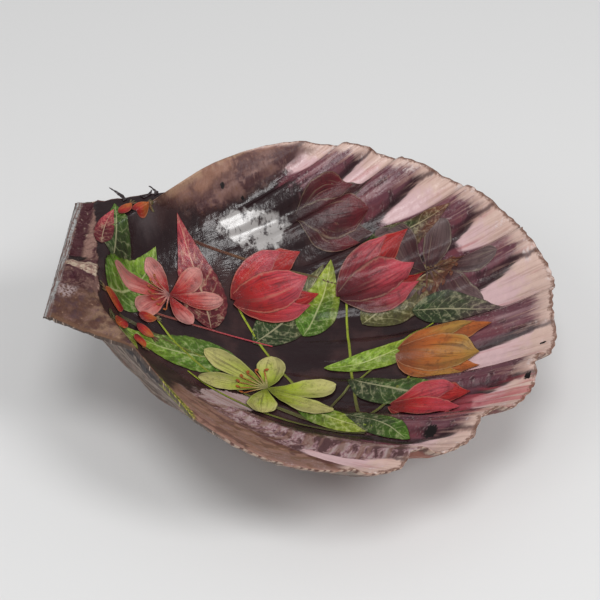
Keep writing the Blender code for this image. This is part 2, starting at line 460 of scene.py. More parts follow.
# ovals on the plan, with centre and half sizes in mm, but for the pool: degrees and shares of the growth
SHEEN_SPOT = ((-22, 15), (6, 7))
TORN_PLACE = ((22.6, 45.2), (4.4, 7.8))
PITTED_PATCH = ((6.8, 4.4), (2.8, 3.6))
DARK_PIT_OVAL = ((-1.3, 3.9), (1.3, 2.9))
EAR_HAZE = ((10.5, 3.6), (4.6, 3.2))
POOL = ((-37.2, 0.595), (5.6, 0.08))
BLACK_SPECKS = (  # x and y on the plan, and the size
    (-37.9, 35, 0.7),
    (-39, 40.3, 0.5),
    (37, 91.1, 1.6),
    (6.7, 116.6, 0.7),
    (20.3, 112.4, 0.8),
)
LACQUER_RELIEF = 1.2 * MM
LACQUER_SHINE = 0.28
LACQUER_ROUGHNESS = 0.2
DUST_ROUGHNESS = 0.14

lacquered_inside.use_nodes = True
tree = lacquered_inside.node_tree
surface = tree.nodes["Principled BSDF"]
plan = measure(tree, "plan", 1)
plan_x = add_node("SeparateXYZ", plan, output=0)
angle_at = measure(tree, "angle")
growth_at = measure(tree, "growth")
groove_at = measure(tree, "groove")
side_at = measure(tree, "groove_side")
reach_at = measure(tree, "reach")
hinge_at = measure(tree, "from_hinge")
margin_at = measure(tree, "from_margin")
fan_place = add_node("CombineXYZ", angle_at, growth_at, 0.0)

clouds = grain(plan, 0.09, 4)
blots = grain(plan, 0.35, 4)
specks = grain(plan, 1.6, 3)
lumps = grain(plan, 0.22, 3)
rays = grain(stretched(fan_place, 0.7, 4), 1.0, 4, 0.6)
fine_rays = grain(stretched(fan_place, 2.6, 9), 1.0, 3, 0.6)

# the dark ground, and the purple ridges that come out from under it
ground = coat(GROUND, GROUND_BROWN, step(clouds, 0.45, 0.65))
# painted sheen: a grey cloud on the dark ground of the back ear, standing in for a soft reflection
sheen_and_haze = times(step(away_from(plan, *SHEEN_SPOT), 1.1, 0.2), step(clouds, 0.35, 0.6), 0.7)
ground = coat(ground, GROUND_GREY, sheen_and_haze)
ridge = coat(PURPLE, PURPLE_DARK, step(blots, 0.5, 0.66, 0, 0.8))
rayed = times(step(rays, 0.45, 0.7), step(groove_at, 0.1, -0.9))
ridge = coat(ridge, PURPLE_LIGHT, rayed)
reddish = times(step(clouds, 0.46, 0.6), step(rays, 0.4, 0.6), 0.5)
ridge = coat(ridge, PLUM_RED, reddish)
uneven_growth = shaken(growth_at, blots, 0.22, rays, 0.2)
out_of_ground = step(uneven_growth, RIDGES_FROM, RIDGES_FROM + 0.07)
colour = coat(ground, ridge, out_of_ground)
# painted sheen: lighter lilac mottles on the ridges, standing in for their glossy highlights
painted_sheen = times(step(specks, 0.5, 0.7), step(blots, 0.42, 0.62), out_of_ground, 0.55)
colour = coat(colour, LILAC, painted_sheen)

# the pale grooves, which narrow inwards to a soft end, with painted shade on the wall on the side towards the
# back
reach_left = add_node("MapRange", growth_at, reach_at, 1.0, 0.97, -0.2)
into_groove = maths("SUBTRACT", shaken(groove_at, rays, 0.5, fine_rays, 0.25), reach_left)
pale = coat(PINK_WHITE, CREAM, step(shaken(growth_at, blots, 0.2), 0.9, 0.98))
pale = coat(pale, PINK, step(rays, 0.54, 0.7, 0, 0.75))
in_wall = times(step(into_groove, -0.6, -0.2), step(side_at, 0.05, -0.25))
# painted shade: near-black on each groove's wall towards the back, standing in for its shadow
painted_wall_shade = times(in_wall, step(growth_at, WALLS_FROM, WALLS_FROM + 0.12), 0.8)
colour = coat(colour, NEAR_BLACK, painted_wall_shade)
past_reach = shaken(maths("SUBTRACT", growth_at, reach_at), blots, 0.08)
past_reach = step(past_reach, -0.006, 0.02)
colour = coat(colour, pale, times(step(into_groove, -0.16, 0.14), past_reach))
# painted shade: a thin near-black line along the back side of each groove
painted_groove_shade = times(near(into_groove, -0.05, 0.09, 0.02), past_reach)
colour = coat(colour, NEAR_BLACK, times(painted_groove_shade, step(side_at, 0.0, -0.3), 0.7))

# the pale strip along the margin, with its feathered inner side and its stained edge
feathered = shaken(margin_at, rays, -8, fine_rays, -5, blots, -4)
strip = coat(pale, CREAM, step(margin_at, 4, 1.5, 0, 0.7))
on_disc = step(maths("ABSOLUTE", angle_at), FAN_EDGE + 0.2, FAN_EDGE)
before_slope = step(angle_at, STRIP_END + 3, STRIP_END)
on_strip = times(step(feathered, STRIP_WIDTH, 1.2), on_disc, before_slope)
colour = coat(colour, strip, on_strip)
pearly = times(step(blots, 0.46, 0.34), step(specks, 0.4, 0.6), step(feathered, 7, 3))
colour = coat(colour, PEARL, times(pearly, on_disc, 0.8))
# painted shade: dark lines in the creases on the back side of each groove, out to the margin
in_crease = near(shaken(groove_at, blots, 0.6), 0, 0.2, 0.03)
painted_crease_shade = times(in_crease, step(side_at, 0.0, -0.3), step(growth_at, 0.8, 0.93))
colour = coat(colour, PURPLE_DARK, times(painted_crease_shade, on_disc, 0.75))
ribbed = times(step(fine_rays, 0.5, 0.62), step(growth_at, 0.88, 0.95), on_disc, 0.45)
colour = coat(colour, STRIP_SHADE, ribbed)
rosy_rib = times(step(angle_at, 8, 12), step(angle_at, 21, 17))
rosy = times(rosy_rib, step(growth_at, 0.82, 0.9), step(rays, 0.47, 0.56), 0.6)
colour = coat(colour, ROSY, rosy)
stained = step(shaken(margin_at, specks, 2.2, blots, 1.5), 1.3, 0.4)
colour = coat(colour, EDGE_DARK, times(stained, step(blots, 0.33, 0.48), 0.85))
back_ear = step(angle_at, -FAN_EDGE, -FAN_EDGE - 0.3)
colour = coat(colour, GROUND, times(back_ear, step(margin_at, 0.2, 0.8)))

# the brown slope below the back edge
slope_angle = shaken(angle_at, clouds, 6)
along_slope = grain(stretched(fan_place, 0.35, 7), 1.0, 3)
browned = step(shaken(slope_angle, along_slope, 6, blots, 5), -47, -50.5)
back_slope = coat(SLOPE_PURPLE, SLOPE_BROWN, browned)
greyed = step(shaken(along_slope, blots, 0.5), 0.47, 0.6, 0, 0.8)
back_slope = coat(back_slope, LILAC_BROWN, greyed)
clouded = step(shaken(clouds, blots, 0.5), 0.52, 0.64, 0, 0.75)
back_slope = coat(back_slope, SLOPE_PURPLE, clouded)
spotted = times(step(blots, 0.45, 0.34), step(specks, 0.35, 0.6), 0.6)
back_slope = coat(back_slope, HINGE_PINK, spotted)
golden = step(shaken(angle_at, rays, 2, blots, 1.5), -50, -51.3)
back_slope = coat(back_slope, SLOPE_TAN, times(golden, step(lumps, 0.62, 0.45), 0.9))
past_ear = step(shaken(growth_at, blots, 0.15), 0.48, 0.58)
beside_ear = times(past_ear, step(angle_at, -51.8, -51.55))
on_slope = times(step(slope_angle, BACK_SLOPE + 2.5, BACK_SLOPE), beside_ear)
colour = coat(colour, back_slope, times(on_slope, step(margin_at, 1.2, 4.5)))
brown_spots = times(on_slope, step(specks, 0.54, 0.66), step(blots, 0.4, 0.55), 0.5)
colour = coat(colour, EDGE_BROWN, brown_spots)

# the mottled slope above the front edge: lilac by the ground, then brown with a dark red streak
blotched = shaken(blots, specks, 0.35, along_slope, 0.4)
front = coat(SLOPE_PURPLE, PURPLE_LIGHT, step(blotched, 0.42, 0.55))
front = coat(front, LILAC, step(shaken(blotched, specks, 0.3), 0.52, 0.62))
outer_front = coat(LILAC_BROWN, SLOPE_BROWN, step(along_slope, 0.42, 0.6))
spotted = step(shaken(blots, specks, 0.5), 0.5, 0.7, 0, 0.7)
outer_front = coat(outer_front, EDGE_BROWN, spotted)
streaked = step(shaken(along_slope, blots, 0.6), 0.53, 0.63, 0, 0.7)
outer_front = coat(outer_front, SLOPE_PURPLE, streaked)
flecked = times(step(specks, 0.5, 0.66), step(along_slope, 0.46, 0.36), 0.5)
outer_front = coat(outer_front, LILAC, flecked)
front = coat(front, outer_front, step(slope_angle, OUTER_FRONT, OUTER_FRONT + 2))
red_streak = times(near(slope_angle, RED_STREAK, 1.3, 0.5), step(growth_at, 0.6, 0.66), 0.8)
front = coat(front, DARK_RED, red_streak)
growth_lines = grain(stretched(fan_place, 0.06, 38), 1.0, 3)
lined = step(shaken(growth_lines, blots, 0.5), 0.5, 0.62, 0, 0.6)
front = coat(front, EDGE_BROWN, lined)
between_lines = times(step(growth_lines, 0.46, 0.36), step(blots, 0.55, 0.42), 0.5)
front = coat(front, HINGE_PINK, between_lines)
past_shelf = step(shaken(growth_at, blots, 0.12), 0.42, 0.48)
front_share = times(step(slope_angle, FRONT_SLOPE, FRONT_SLOPE + 2), past_shelf)
front_share = times(front_share, step(shaken(hinge_at, blots, 6), 31, 33.5))
pale_end = times(step(into_groove, -0.1, 0.14), past_reach)
front_share = maths("SUBTRACT", front_share, maths("MULTIPLY", front_share, pale_end))
colour = coat(colour, front, front_share)

# a torn place in the paper on the front slope, and a few black specks
torn = shaken(away_from(plan, *TORN_PLACE), blots, 0.7, specks, 0.4)
bare = coat(LILAC, LILAC_BROWN, step(rays, 0.45, 0.7))
colour = coat(colour, bare, step(torn, 1.0, 0.92))
for x_speck, y_speck, size in BLACK_SPECKS:
    away = shaken(away_from(plan, (x_speck, y_speck), (size, size)), specks, 1.6)
    colour = coat(colour, NEAR_BLACK, step(away, 1.0, 0.7))

# the hinge shelf: a maroon trough with a pink ridge beside it, a dark pit, and a pale tooth
chips = grain(plan, 0.9, 5, 0.7)
shelf = coat(HINGE_BROWN, HINGE_MAROON, step(blots, 0.46, 0.6))
shelf = coat(shelf, HINGE_PINK, step(chips, 0.52, 0.62, 0, 0.8))
behind = step(shaken(plan_x, blots, 2), -0.5, -2.5)
shaken_hinge = shaken(hinge_at, blots, 2.2)
on_ridge = times(behind, near(shaken_hinge, PINK_RIDGE, 1.6, 0.8), 0.8)
shelf = coat(shelf, HINGE_PINK, on_ridge)
in_trough = times(behind, near(shaken_hinge, TROUGH_AT / MM, 1.9, 1.1), 0.9)
shelf = coat(shelf, HINGE_MAROON, in_trough)
shelf = coat(shelf, HINGE_CREAM, step(chips, 0.6, 0.68, 0, 0.6))
pitted = step(shaken(away_from(plan, *PITTED_PATCH), blots, 0.8), 1.1, 0.7)
pitted = times(pitted, step(shaken(chips, specks, 0.3), 0.44, 0.52), 0.85)
shelf = coat(shelf, HINGE_MAROON, pitted)
tooth_middle = maths("MULTIPLY_ADD", hinge_at, 0.12, 1.7)
tooth_half = maths("MULTIPLY_ADD", hinge_at, 0.22, 0.4)
off_tooth = maths("ABSOLUTE", maths("SUBTRACT", plan_x, tooth_middle))
tooth_at = shaken(maths("DIVIDE", off_tooth, tooth_half), blots, 0.7, chips, 0.4)
tooth_end = step(shaken(hinge_at, chips, 2.5), 9.8, 9.2)
tooth_ends = times(step(hinge_at, 0.9, 1.8), tooth_end)
shelf = coat(shelf, HINGE_MAROON, times(step(tooth_at, 1.7, 1.25), tooth_ends, 0.85))
# the pit is darkened to near black
pit_at = shaken(away_from(plan, *DARK_PIT_OVAL), blots, 0.7)
shelf = coat(shelf, NEAR_BLACK, step(pit_at, 1.0, 0.6, 0, 0.9))
tooth_grain = grain(stretched(plan, 2.2, 0.3), 1.0, 3)
tooth = coat(HINGE_CREAM, HINGE_PINK, step(chips, 0.46, 0.6))
tooth = coat(tooth, HINGE_BROWN, step(tooth_grain, 0.5, 0.62, 0, 0.75))
shelf = coat(shelf, tooth, times(step(tooth_at, 1.05, 0.85), tooth_ends))

# the worn white layers along the shelf's outer edge, and the brown front ear
layers = grain(stretched(plan, 0.12, 2.6), 1.0, 4, 0.6)
white_layers = times(step(layers, 0.42, 0.54), step(chips, 0.36, 0.5))
outer = coat(HINGE_BROWN, HINGE_WHITE, white_layers)
shelf = coat(shelf, outer, step(shaken(hinge_at, chips, 2.6), 2.1, 1.5))
purplish = step(shaken(blots, specks, 0.25), 0.48, 0.64, 0, 0.8)
ear = coat(EAR_BROWN, SLOPE_PURPLE, purplish)
tanned = times(step(shaken(hinge_at, clouds, 8), 7, 14), step(lumps, 0.56, 0.44))
ear = coat(ear, EAR_TAN, tanned)
mottled = times(step(lumps, 0.46, 0.36), step(chips, 0.42, 0.56), 0.8)
ear = coat(ear, LILAC_BROWN, mottled)
ear = coat(ear, SLOPE_PURPLE, step(shaken(chips, blots, 0.8), 0.54, 0.64, 0, 0.6))
spotted = times(step(chips, 0.45, 0.36), step(blots, 0.52, 0.4), 0.55)
ear = coat(ear, SLOPE_TAN, spotted)
ear = coat(ear, EDGE_BROWN, step(shaken(margin_at, specks, 2.5), 1.8, 0.6, 0, 0.8))
sheen_and_haze = times(step(away_from(plan, *EAR_HAZE), 1, 0.5), step(specks, 0.42, 0.54))
ear = coat(ear, LILAC, sheen_and_haze)
past_patch = step(shaken(plan_x, blots, 5), 9, 11)
in_ear = times(past_patch, step(shaken(hinge_at, chips, 2), 1.2, 2.0))
shelf = coat(shelf, ear, in_ear)
before_paper = shaken(maths("MULTIPLY_ADD", plan_x, -PAPER_SLANT, hinge_at), blots, 2.5)
before_paper = step(before_paper, PAPER_START + 0.5, PAPER_START)
beside_disc = step(shaken(angle_at, blots, 5), 45, 47)
beside_disc = times(beside_disc, step(hinge_at, 17, 14.5))
front_ear = maths("MAXIMUM", step(angle_at, 50.8, 51.8), beside_disc)
shelf_share = maths("MAXIMUM", before_paper, front_ear)
colour = coat(colour, shelf, shelf_share)


def with_scrap(colour, angle_at, hinge_at, blots, specks, rim):
    """Lays a scrap of green and yellow paper over a colour, on the front rim from some angle outwards."""
    past_rim = step(shaken(angle_at, specks, 0.8), rim, rim + 0.4)
    scrap = times(past_rim, step(shaken(hinge_at, blots, 4), 29, 30))
    scrap = times(scrap, step(shaken(hinge_at, blots, 3), 39, 37.5))
    return coat(colour, coat(SCRAP_GREEN, SCRAP_YELLOW, step(specks, 0.45, 0.6)), scrap)


# the scrap of paper on the front rim, and a pool of lacquer on the back slope that mirrors the window, with a
# painted white reflection of the window in its colour
colour = with_scrap(colour, angle_at, hinge_at, blots, specks, FRONT_RIM)
pool = shaken(away_from(fan_place, *POOL), blots, 1.3, specks, 0.35)
pool = step(pool, 1.1, 0.8)
# painted reflection: a whitish patch in the pool's colour, standing in for the window's glare
painted_glare = times(pool, step(shaken(blots, specks, 0.5), 0.68, 0.5), 0.8)
colour = coat(colour, PAINTED_GLARE_WHITE, painted_glare)
tree.links.new(colour, surface.inputs["Base Color"])

# gloss: duller and rougher on the bare slopes and the shelf, and smoother in the pool
steep_front = step(angle_at, 27, 34)
bare_shell = maths("MAXIMUM", maths("MAXIMUM", steep_front, on_slope), shelf_share)
film = add_node("Group", plan, node_tree=lacquer)
dust = add_node("Group", plan, node_tree=lacquer, output=1)
relief = maths("MULTIPLY_ADD", fine_rays, 0.05, film)
relief = maths("MULTIPLY_ADD", times(chips, shelf_share), 1.3, relief)
relief = maths("MULTIPLY_ADD", times(lumps, shelf_share), 4.0, relief)
relief = maths("MULTIPLY_ADD", times(lumps, on_slope), 1.5, relief)
emboss(surface, 0.6, LACQUER_RELIEF, times(relief, step(pool, 0, 1, 1, 0.6)))
roughness = maths("MULTIPLY_ADD", dust, DUST_ROUGHNESS, LACQUER_ROUGHNESS)
roughness = maths("MULTIPLY_ADD", bare_shell, 0.28, roughness)
tree.links.new(roughness, surface.inputs["Roughness"])
surface.inputs["Specular IOR Level"].default_value = LACQUER_SHINE
tree.links.new(maths("MULTIPLY", pool, 0.65), surface.inputs["Coat Weight"])
surface.inputs["Coat Roughness"].default_value = 0.27
surface.inputs["Coat IOR"].default_value = 1.6


# Finish of the valve's outside and worn edge: bare shell, beige on the ears and flanks and maroon over the
# ribs, with bands of growth, fine dark lines between the riblets, and a margin nibbled into pale beads.

FLANK = (0.25, 0.195, 0.16)
FLANK_DARK = (0.075, 0.045, 0.034)
MAROON = (0.17, 0.05, 0.045)
BRICK = (0.3, 0.11, 0.075)
KNOB_CREAM = (0.52, 0.39, 0.31)
BEAD = (0.46, 0.33, 0.26)
BEAD_GAP = (0.13, 0.055, 0.042)
FLANK_FROM = 35  # degrees from the middle line
BEAD_DEPTH = 1.6  # mm from the margin
OUTER_RIM = 50.7  # degrees, where the scrap of paper on the front rim ends
SHELL_RELIEF = 0.6 * MM

bare_outside.use_nodes = True
tree = bare_outside.node_tree
surface = tree.nodes["Principled BSDF"]
plan = measure(tree, "plan", 1)
angle_at = measure(tree, "angle")
growth_at = measure(tree, "growth")
groove_at = measure(tree, "groove")
hinge_at = measure(tree, "from_hinge")
margin_at = measure(tree, "from_margin")
fan_place = add_node("CombineXYZ", angle_at, growth_at, 0.0)
off_middle = maths("ABSOLUTE", angle_at)

blots = grain(plan, 0.3, 4)
specks = grain(plan, 1.4, 3)
rays = grain(stretched(fan_place, 1.1, 3), 1.0, 3)
lines = grain(stretched(fan_place, 1.5, 1.2), 1.0, 2)
bands = grain(stretched(fan_place, 0.02, 26), 1.0, 3)
fine_bands = grain(stretched(fan_place, 0.1, 70), 1.0, 2)
riblet = maths("COSINE", maths("MULTIPLY", angle_at, 2 * math.pi / RIBLET_PITCH))
bead_wave = maths("COSINE", maths("MULTIPLY", angle_at, 4 * math.pi / RIBLET_PITCH))

# the ribs, darker in bands across the fan, with pale scuffed tops
rib_colour = coat(MAROON, BRICK, step(bands, 0.42, 0.6))
scuffed = step(shaken(blots, specks, 0.3), 0.47, 0.62)
scuffed = times(scuffed, step(groove_at, -0.2, 0.8))
rib_colour = coat(rib_colour, KNOB_CREAM, scuffed)
rib_colour = coat(rib_colour, FLANK_DARK, step(fine_bands, 0.58, 0.7, 0, 0.5))

# the flanks and the ears, grey and beige with dark lines between the riblets
flank = coat(FLANK, FLANK_DARK, step(fine_bands, 0.55, 0.65, 0, 0.35))
flank = coat(flank, FLANK_DARK, step(lines, 0.5, 0.58, 0, 0.7))
flank = coat(flank, FLANK_DARK, step(shaken(riblet, lines, 1.5), -0.1, -0.8, 0, 0.7))
paler = times(step(lines, 0.44, 0.36), step(blots, 0.55, 0.4), 0.5)
flank = coat(flank, KNOB_CREAM, paler)
flank = coat(flank, BRICK, step(blots, 0.55, 0.68, 0, 0.25))
flank = coat(flank, FLANK_DARK, step(bands, 0.6, 0.7, 0, 0.5))
flank_at = shaken(maths("MULTIPLY_ADD", angle_at, 0.1, off_middle), blots, 8, rays, 4)
colour = coat(rib_colour, flank, step(flank_at, FLANK_FROM, FLANK_FROM + 5))
colour = coat(colour, FLANK_DARK, step(shaken(riblet, rays, 3), -0.6, -1.4, 0, 0.5))

# dark paper and the scrap, wrapped over the front edge
wrapped = step(shaken(angle_at, blots, 3, specks, 1), 50.9, 51.2)
wrapped = times(wrapped, step(angle_at, 52.4, 52.1))
wrapped = times(wrapped, step(shaken(hinge_at, blots, 5), 19.5, 20.5))
wrapped = times(wrapped, step(hinge_at, 34, 32))
colour = coat(colour, GROUND, wrapped)
colour = with_scrap(colour, angle_at, hinge_at, blots, specks, OUTER_RIM)

# the beads and nicks of the margin
on_disc = step(off_middle, 50, 49)
bead_tops = step(shaken(bead_wave, specks, 3.5, blots, 4), -1.2, 0.4)
beads = coat(BEAD_GAP, BEAD, bead_tops)
beads = coat(beads, BRICK, step(blots, 0.5, 0.62, 0, 0.6))
beaded = step(shaken(margin_at, specks, 1.6, blots, 1.5), BEAD_DEPTH, BEAD_DEPTH / 2)
colour = coat(colour, beads, times(beaded, on_disc))
nicked = step(shaken(margin_at, specks, 2.5), BEAD_DEPTH, BEAD_DEPTH / 2)
nicked = times(nicked, maths("SUBTRACT", 1.0, on_disc))
colour = coat(colour, FLANK_DARK, times(nicked, 0.85))
colour = coat(colour, KNOB_CREAM, times(nicked, step(specks, 0.58, 0.64)))
tree.links.new(colour, surface.inputs["Base Color"])

relief = maths("MULTIPLY_ADD", bands, 0.8, times(riblet, 0.2))
relief = maths("MULTIPLY_ADD", specks, 0.4, relief)
relief = maths("MULTIPLY_ADD", lines, -0.7, relief)
emboss(surface, 0.7, SHELL_RELIEF, relief)
tree.links.new(step(blots, 0.3, 0.7, 0.62, 0.45), surface.inputs["Roughness"])
surface.inputs["Specular IOR Level"].default_value = 0.35

# the valve is laid on the table: turned until its hinge is on the left, lifted there and leaned to the front
to_table = (
    Matrix.Translation(BEAK)
    @ Matrix.Rotation(math.radians(LEAN_TO_FRONT), 4, "X")
    @ Matrix.Rotation(math.radians(LIFT_OF_HINGE), 4, "Y")
    @ Matrix(((0, 1, 0), (-1, 0, 0), (0, 0, 1))).to_4x4()
)
valve.data.transform(to_table)
for vertex in valve.data.vertices:
    vertex.co = np.clip(vertex.co, *cad_box)
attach(valve, "root")
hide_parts("shell")


# The printed cut-outs: a loose bouquet on thin paper, glued into the dish and lacquered over. Each leaf,
# petal, stem and rose hip is cut flat, laid over the ones before it, and pressed down onto the shell.

PAPER_LIFT = 0.16 * MM
LEVEL_LIFT = 0.045 * MM  # for each level in the stack
PRESS_FROM = 30 * MM
cuts = {"leaves": [], "petals": [], "hips": [], "stems": []}


def pointed(t):
    """Half width of a leaf along its length: widest before the middle, with a drawn-out tip."""
    return np.sin(math.pi * t**0.8) ** 0.9 * (1 - 0.35 * t) / 0.85


def lance(t):
    """Half width of a long narrow leaf."""
    return np.sin(math.pi * t**0.9) ** 0.7


def full(t):
    """Half width of a petal: narrow at its base, full and round towards its tip."""
    return np.sin(math.pi * t**1.35) ** 0.62 * (0.55 + 0.5 * t)


def cupped(t):
    """Half width of a tulip's petal: egg-shaped, with a small point."""
    egg = 0.22 + 0.78 * np.sin(math.pi * np.clip(t * 0.93 + 0.05, 0, 1) ** 0.95)
    return egg * np.clip((1 - t) * 5, 0, 1) ** 0.6


def thread(t):
    """Half width of a stem, thinning towards its end."""
    return 1 - 0.45 * t


def cut_out(kind, level, path, width, shape, tint, tip, cells=(8, 26), nibble=0.06, teeth=0):
    """Cuts one piece of paper along a curved middle line; its places are shares of the shell's height."""
    bpy.ops.mesh.primitive_grid_add(x_subdivisions=cells[0], y_subdivisions=cells[1], size=2)
    piece = bpy.context.object
    sheet = np.array([vertex.co for vertex in piece.data.vertices])
    side, along = sheet[:, 0], (sheet[:, 1] + 1) / 2
    start, middle, end = [np.array(place) * HEIGHT for place in path]
    t = along[:, None]
    line = (1 - t) ** 2 * start + 2 * (1 - t) * t * middle + t**2 * end
    slope = (1 - t) * (middle - start) + t * (end - middle)
    normal = np.stack([slope[:, 1], -slope[:, 0]], 1) / np.linalg.norm(slope, axis=1)[:, None]
    seed = len(cuts[kind]) * 7.3
    notches = 0.06 * (teeth * along % 1) * (teeth > 0)
    uneven = 1 + nibble * ripple(along * 7 + seed, side * 0 + (side > 0)) + notches
    flat = line + normal * (side * 0.5 * width * HEIGHT * shape(along) * uneven)[:, None]
    coordinates = np.stack([flat[:, 0], flat[:, 1], np.full(len(flat), PRESS_FROM)], 1)
    piece.data.vertices.foreach_set("co", coordinates.ravel())
    piece.data.uv_layers.remove(piece.data.uv_layers[0])
    add_measure(piece, "flat", coordinates / MM)
    add_measure(piece, "side", side)
    add_measure(piece, "along", along)
    add_measure(piece, "seed", np.full(len(flat), seed))
    add_measure(piece, "level", np.full(len(flat), float(level)))
    add_measure(piece, "tint", np.tile(tint, (len(flat), 1)))
    add_measure(piece, "tip", np.tile(tip, (len(flat), 1)))
    cuts[kind].append(piece)


def turned(place, heading, length, bend=0.0):
    """Start, middle and end of a piece that leaves a place at a heading, in degrees from the middle line."""
    angle = math.radians(heading)
    along = Vector((math.sin(angle), math.cos(angle)))
    over = Vector((along.y, -along.x))
    start = Vector(place)
    return [start, start + along * length * 0.5 + over * bend * length, start + along * length]


RED = (0.36, 0.012, 0.012)
CRIMSON = (0.12, 0.012, 0.018)
ROSE = (0.44, 0.05, 0.07)
BLUSH = (0.52, 0.21, 0.19)
ORANGE = (0.4, 0.1, 0.02)
AMBER = (0.36, 0.19, 0.04)
LIME = (0.3, 0.37, 0.025)
STRAW = (0.45, 0.42, 0.15)
LEAF = (0.07, 0.17, 0.01)
LEAF_LIGHT = (0.21, 0.35, 0.025)
LEAF_DARK = (0.025, 0.055, 0.014)
WORN_PAPER = (0.75, 0.66, 0.42)
OLIVE = (0.1, 0.1, 0.028)
RUSSET = (0.15, 0.045, 0.022)
SHADE_RED = (0.055, 0.015, 0.018)
SHADE_GREY = (0.13, 0.085, 0.085)


def stem(path, width=0.008, tint=OLIVE, tip=LIME):
    """A thin stem along a curve."""
    cut_out("stems", len(cuts["stems"]) % 3 * 0.4, path, width, thread, tint, tip, (2, 60), 0.1)


def leaf(place, heading, length, width, bend, tint, tip, shape=pointed, teeth=0):
    """One leaf, from its stalk to its tip."""
    level = len(cuts["leaves"]) % 5 * 0.8
    path = turned(place, heading, length, bend)
    cut_out("leaves", level, path, width, shape, tint, tip, (10, 40), 0.05, teeth)


def tulip(place, heading, length, tint, tip, under, under_tip, level=5):
    """A half-open blossom from the side: two petals behind, two leaning in from the sides, one in front."""
    petals = (  # spread, reach, width, bend, and the two colours
        (-16, 0.98, 0.36, -0.10, under, under_tip),
        (16, 0.95, 0.36, 0.10, under, under_tip),
        (-25, 0.80, 0.30, -0.20, tint, tip),
        (26, 0.84, 0.32, 0.20, tint, tip),
        (3, 0.88, 0.50, 0.03, tint, tip),
    )
    for over, (spread, reach, width, bend, low, high) in enumerate(petals):
        path = turned(place, heading + spread, length * reach, bend)
        cut_out("petals", level + over, path, length * width, cupped, low, high, (14, 40))


def star(place, heading, size, tint, tip, flatness=0.6, level=5, anthers=ORANGE):
    """An open blossom seen at a slant: six petals, the ones behind first, and a ring of stamens."""
    for over, k in enumerate((0, 5, 1, 4, 2, 3)):
        angle = 2 * math.pi * (k + 0.3) / 6
        x, y = math.sin(angle) * flatness, math.cos(angle)
        reach = math.hypot(x, y)
        to = math.degrees(math.atan2(x, y)) + heading
        path = turned(place, to, size * reach, 0.08)
        cut_out("petals", level + over, path, size * 0.42, full, tint, tip, (14, 36), 0.09)
    for k in range(7):
        to = heading - 60 + 20 * k
        filament = turned(place, to, size * 0.34, 0.05)
        cut_out("stems", level + 6, filament, size * 0.03, thread, tip, anthers, (2, 12), 0)
        end = turned(place, to, size * 0.34)[2]
        anther = turned(end, to + 60, size * 0.07)
        cut_out("hips", level + 7, anther, size * 0.045, lance, anthers, anthers, (4, 6), 0)


def hip(place, heading, length):
    """A rose hip with its dry crown."""
    tip = turned(place, heading, length * 0.9)[2]
    for spread in (-30, 0, 30):
        crown = turned(tip, heading + spread, length * 0.4)
        cut_out("leaves", 5, crown, length * 0.12, lance, RUSSET, OLIVE, (2, 6), 0)
    path = turned(place, heading, length, 0.04)
    cut_out("hips", 6 + len(cuts["hips"]) % 3, path, length * 0.62, lance, RED, ORANGE, (12, 20), 0.02)


# stems first, from where they are gathered at the front of the dish
GATHER = (0.27, 0.64)
stem([GATHER, (0.12, 0.50), (-0.12, 0.35)])
stem([GATHER, (0.16, 0.62), (-0.17, 0.58)])
stem([GATHER, (0.14, 0.34), (0.0, 0.20)])
stem([GATHER, (0.22, 0.40), (0.12, 0.28)])
stem([(0.25, 0.60), (0.12, 0.72), (0.0, 0.74)])
stem([(0.20, 0.56), (0.05, 0.60), (-0.10, 0.78)], 0.006)
stem([(0.05, 0.13), (0.03, 0.28), (0.10, 0.44)])
stem([(0.02, 0.12), (-0.05, 0.22), (-0.02, 0.44)], 0.006, RUSSET, ROSE)
stem([(-0.20, 0.22), (-0.24, 0.40), (-0.18, 0.66)], 0.006, RUSSET, OLIVE)

# behind, dark and faded
star((-0.22, 0.745), 30, 0.16, SHADE_RED, SHADE_GREY, level=-2, anthers=RUSSET)
tulip((-0.33, 0.46), -12, 0.17, SHADE_RED, CRIMSON, SHADE_RED, SHADE_RED, level=-2)
leaf((-0.02, 0.40), -60, 0.25, 0.10, 0.1, LEAF_DARK, OLIVE)
leaf((-0.10, 0.62), -35, 0.25, 0.12, -0.1, OLIVE, RUSSET)
leaf((-0.28, 0.60), -20, 0.19, 0.08, 0.1, LEAF_DARK, RUSSET)
leaf((0.07, 0.60), 20, 0.22, 0.08, 0.12, LEAF_DARK, LEAF)
leaf((-0.13, 0.72), 15, 0.19, 0.08, -0.1, LEAF_DARK, SHADE_GREY)

# close to the hinge and on the back ear
leaf((-0.045, 0.10), -98, 0.14, 0.062, 0.08, LEAF_DARK, LEAF, teeth=10)
leaf((-0.055, 0.075), -86, 0.11, 0.04, -0.1, CRIMSON, ROSE)
leaf((0.035, 0.105), -70, 0.20, 0.088, 0.1, LEAF, LEAF_LIGHT, teeth=14)
leaf((0.075, 0.115), 48, 0.10, 0.042, -0.08, LEAF_DARK, LEAF_LIGHT)

leaf((-0.03, 0.31), -118, 0.22, 0.095, 0.12, CRIMSON, ROSE, teeth=14)
leaf((0.03, 0.37), 168, 0.24, 0.10, -0.1, LEAF, LEAF_LIGHT, teeth=14)
leaf((-0.06, 0.50), -78, 0.19, 0.085, 0.1, LEAF, LIME)
leaf((0.15, 0.49), 35, 0.20, 0.055, 0.1, LEAF, LIME, lance)
leaf((0.21, 0.60), 40, 0.16, 0.05, -0.1, LEAF_DARK, LEAF, lance)
leaf((0.03, 0.55), -20, 0.26, 0.05, 0.12, LEAF_LIGHT, LIME, lance)

